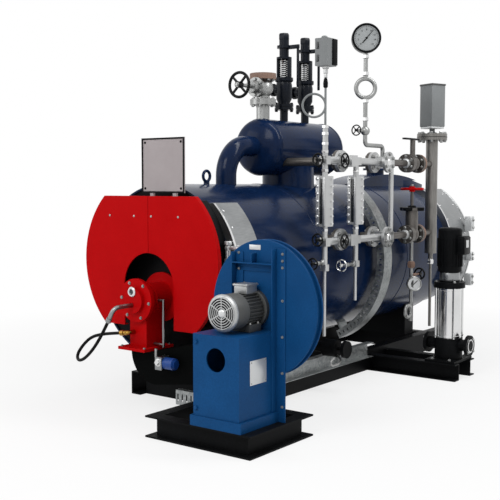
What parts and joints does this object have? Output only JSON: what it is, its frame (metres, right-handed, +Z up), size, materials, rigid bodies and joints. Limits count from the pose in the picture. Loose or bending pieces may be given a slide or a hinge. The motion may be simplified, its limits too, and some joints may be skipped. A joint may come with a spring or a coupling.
{
  "type": "fired horizontal steam boiler",
  "caption": "Horizontal fire-tube steam boiler on a skid with steam drum, safety valves, water gauges, burner with separate blower, and feed pump.",
  "frame": {"origin": "underside of the skid's middle cross member, on the boiler's centre line, at floor level", "axes": "+Z up, +Y along the boiler's axis away from the burner, +X to the side with the gauges"},
  "size_m": [1.57, 3.138, 2.036],
  "materials": {
    "navy_paint": "gloss",
    "blower_paint": "semi-gloss",
    "red_paint": "semi-gloss",
    "stainless": "brushed",
    "galvanised": "spangled zinc",
    "black_paint": "satin",
    "black_wheel": "satin",
    "zinc_fitting": "zinc plated",
    "grey_paint": "satin",
    "dial": "satin",
    "blue_actuator": "satin",
    "brass": "satin",
    "hose_rubber": "matte"
  },
  "bodies": {
    "boiler": {"air_duct": "black_paint", "balance_pipe": "zinc_fitting", "blowdown_valve": "black_paint", "blower_base_ends": "black_paint", "blower_base_rails": "black_paint", "blower_motor": "grey_paint", "blower_scroll": "blower_paint", "blower_stand": "blower_paint", "boiler_shell": "navy_paint", "burner_body": "red_paint", "burner_door": "red_paint", "damper_actuator": "blue_actuator", "damper_rod": "stainless", "drum_ends": "navy_paint", "drum_neck": "navy_paint", "drum_shell": "navy_paint", "electrode_head": "grey_paint", "flue_stub": "navy_paint", "front_cover_left": "red_paint", "front_cover_right": "red_paint", "front_flange": "black_paint", "front_side_casings": "stainless", "front_tube_plate": "black_paint", "front_water_gauge": "zinc_fitting", "gauge_siphon": "zinc_fitting", "level_chamber": "grey_paint", "lifting_eye": "navy_paint", "lower_isolating_valve": "zinc_fitting", "main_steam_valve": "zinc_fitting", "oil_elbow": "stainless", "oil_hose": "hose_rubber", "oil_inlet": "brass", "pressure_gauge": "dial", "pressure_switch": "grey_paint", "pump_arms": "black_paint", "pump_base": "black_paint", "pump_motor": "black_paint", "pump_sleeve": "stainless", "rail_tray": "galvanised", "rear_end_plate": "navy_paint", "rear_side_casings": "stainless", "rear_water_gauge": "zinc_fitting", "riser_pipe": "navy_paint", "saddles": "black_paint", "safety_valves": "black_paint", "sample_gauge": "zinc_fitting", "shell_tray": "galvanised", "sign_plate": "stainless", "skid_cross_members": "black_paint", "skid_rail_left": "black_paint", "skid_rail_right": "black_paint", "steam_nozzles": "zinc_fitting", "upper_isolating_valve": "zinc_fitting", "water_nozzles": "zinc_fitting"},
    "main_steam_wheel": {"main_steam_wheel": "black_wheel"},
    "steam_cock_wheel": {"steam_cock_wheel": "black_wheel"},
    "water_cock_wheel": {"water_cock_wheel": "black_wheel"},
    "gauge_valve_wheel": {"gauge_valve_wheel": "black_wheel"},
    "lower_valve_wheel": {"lower_valve_wheel": "red_paint"},
    "upper_valve_lever": {"upper_valve_lever": "black_wheel"}
  },
  "joints": [
    {"name": "main_steam_turn", "type": "hinge", "parent": "boiler", "child": "main_steam_wheel", "pos_m": [0, -0.687, 1.702], "axis": [0, 1, 0], "range_deg": [0, 1440]},
    {"name": "steam_cock_turn", "type": "hinge", "parent": "boiler", "child": "steam_cock_wheel", "pos_m": [0.594, -0.564, 1.275], "axis": [1, 0, 0], "range_deg": [0, 720]},
    {"name": "water_cock_turn", "type": "hinge", "parent": "boiler", "child": "water_cock_wheel", "pos_m": [0.594, -0.564, 0.843], "axis": [1, 0, 0], "range_deg": [0, 720]},
    {"name": "gauge_valve_turn", "type": "hinge", "parent": "boiler", "child": "gauge_valve_wheel", "pos_m": [0.56, -0.367, 1.446], "axis": [0, 1, 0], "range_deg": [0, 720]},
    {"name": "lower_valve_turn", "type": "hinge", "parent": "boiler", "child": "lower_valve_wheel", "pos_m": [0.56, 0.303, 1.102], "axis": [0, 0, 1], "range_deg": [0, 1080]},
    {"name": "lever_turn", "type": "hinge", "parent": "boiler", "child": "upper_valve_lever", "pos_m": [0.56, 0.303, 1.418], "axis": [0, 0, 1], "range_deg": [0, 90]}
  ]
}
